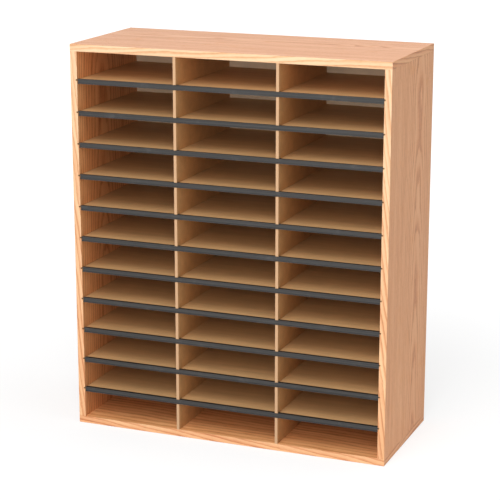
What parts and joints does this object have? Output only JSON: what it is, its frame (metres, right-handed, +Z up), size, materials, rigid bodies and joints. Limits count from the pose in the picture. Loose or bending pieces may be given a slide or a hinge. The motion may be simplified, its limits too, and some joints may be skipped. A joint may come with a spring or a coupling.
{
  "type": "literature organizer",
  "caption": "Free-standing paper organizer: wood-grain case, thin dividers and slide-in shelf boards form flat open-front compartments, with a dark label strip along each shelf.",
  "frame": {"origin": "on the floor, at the centre of the footprint", "axes": "+X to the right seen from the open front, +Y towards the back, +Z up; the compartments open towards -Y"},
  "size_m": [0.7366, 0.3048, 0.8763],
  "materials": {
    "wood_laminate": "satin oak-grain laminate on particleboard",
    "edge_band": "satin oak-grain edge band",
    "shelf_board": "plain tan hardboard, satin",
    "divider_board": "plain tan fibreboard, satin",
    "back_board": "plain greyish tan hardboard, satin",
    "dowel": "plain beech",
    "label_moulding": "dark grey extruded plastic, matte",
    "staple": "bright steel wire"
  },
  "bodies": {
    "case": {"back_panel": "back_board", "back_staples": "staple", "bottom_end_bands": "edge_band", "bottom_front_band": "edge_band", "bottom_panel": "wood_laminate", "case_dowels": "dowel", "left_divider": "divider_board", "left_front_band": "edge_band", "left_side_panel": "wood_laminate", "right_divider": "divider_board", "right_front_band": "edge_band", "right_side_panel": "wood_laminate", "top_end_bands": "edge_band", "top_front_band": "edge_band", "top_panel": "wood_laminate"},
    "shelf_unit_01": {"shelf_01": "shelf_board", "label_moulding_01": "label_moulding"},
    "shelf_unit_02": {"shelf_02": "shelf_board", "label_moulding_02": "label_moulding"},
    "shelf_unit_03": {"shelf_03": "shelf_board", "label_moulding_03": "label_moulding"},
    "shelf_unit_04": {"shelf_04": "shelf_board", "label_moulding_04": "label_moulding"},
    "shelf_unit_05": {"shelf_05": "shelf_board", "label_moulding_05": "label_moulding"},
    "shelf_unit_06": {"shelf_06": "shelf_board", "label_moulding_06": "label_moulding"},
    "shelf_unit_07": {"shelf_07": "shelf_board", "label_moulding_07": "label_moulding"},
    "shelf_unit_08": {"shelf_08": "shelf_board", "label_moulding_08": "label_moulding"},
    "shelf_unit_09": {"shelf_09": "shelf_board", "label_moulding_09": "label_moulding"},
    "shelf_unit_10": {"shelf_10": "shelf_board", "label_moulding_10": "label_moulding"},
    "shelf_unit_11": {"shelf_11": "shelf_board", "label_moulding_11": "label_moulding"}
  },
  "joints": [
    {"name": "shelf_01_slide", "type": "slide", "parent": "case", "child": "shelf_unit_01", "axis": [0, -1, 0], "range_m": [0, 0.305]},
    {"name": "shelf_02_slide", "type": "slide", "parent": "case", "child": "shelf_unit_02", "axis": [0, -1, 0], "range_m": [0, 0.305]},
    {"name": "shelf_03_slide", "type": "slide", "parent": "case", "child": "shelf_unit_03", "axis": [0, -1, 0], "range_m": [0, 0.305]},
    {"name": "shelf_04_slide", "type": "slide", "parent": "case", "child": "shelf_unit_04", "axis": [0, -1, 0], "range_m": [0, 0.305]},
    {"name": "shelf_05_slide", "type": "slide", "parent": "case", "child": "shelf_unit_05", "axis": [0, -1, 0], "range_m": [0, 0.305]},
    {"name": "shelf_06_slide", "type": "slide", "parent": "case", "child": "shelf_unit_06", "axis": [0, -1, 0], "range_m": [0, 0.305]},
    {"name": "shelf_07_slide", "type": "slide", "parent": "case", "child": "shelf_unit_07", "axis": [0, -1, 0], "range_m": [0, 0.305]},
    {"name": "shelf_08_slide", "type": "slide", "parent": "case", "child": "shelf_unit_08", "axis": [0, -1, 0], "range_m": [0, 0.305]},
    {"name": "shelf_09_slide", "type": "slide", "parent": "case", "child": "shelf_unit_09", "axis": [0, -1, 0], "range_m": [0, 0.305]},
    {"name": "shelf_10_slide", "type": "slide", "parent": "case", "child": "shelf_unit_10", "axis": [0, -1, 0], "range_m": [0, 0.305]},
    {"name": "shelf_11_slide", "type": "slide", "parent": "case", "child": "shelf_unit_11", "axis": [0, -1, 0], "range_m": [0, 0.305]}
  ]
}
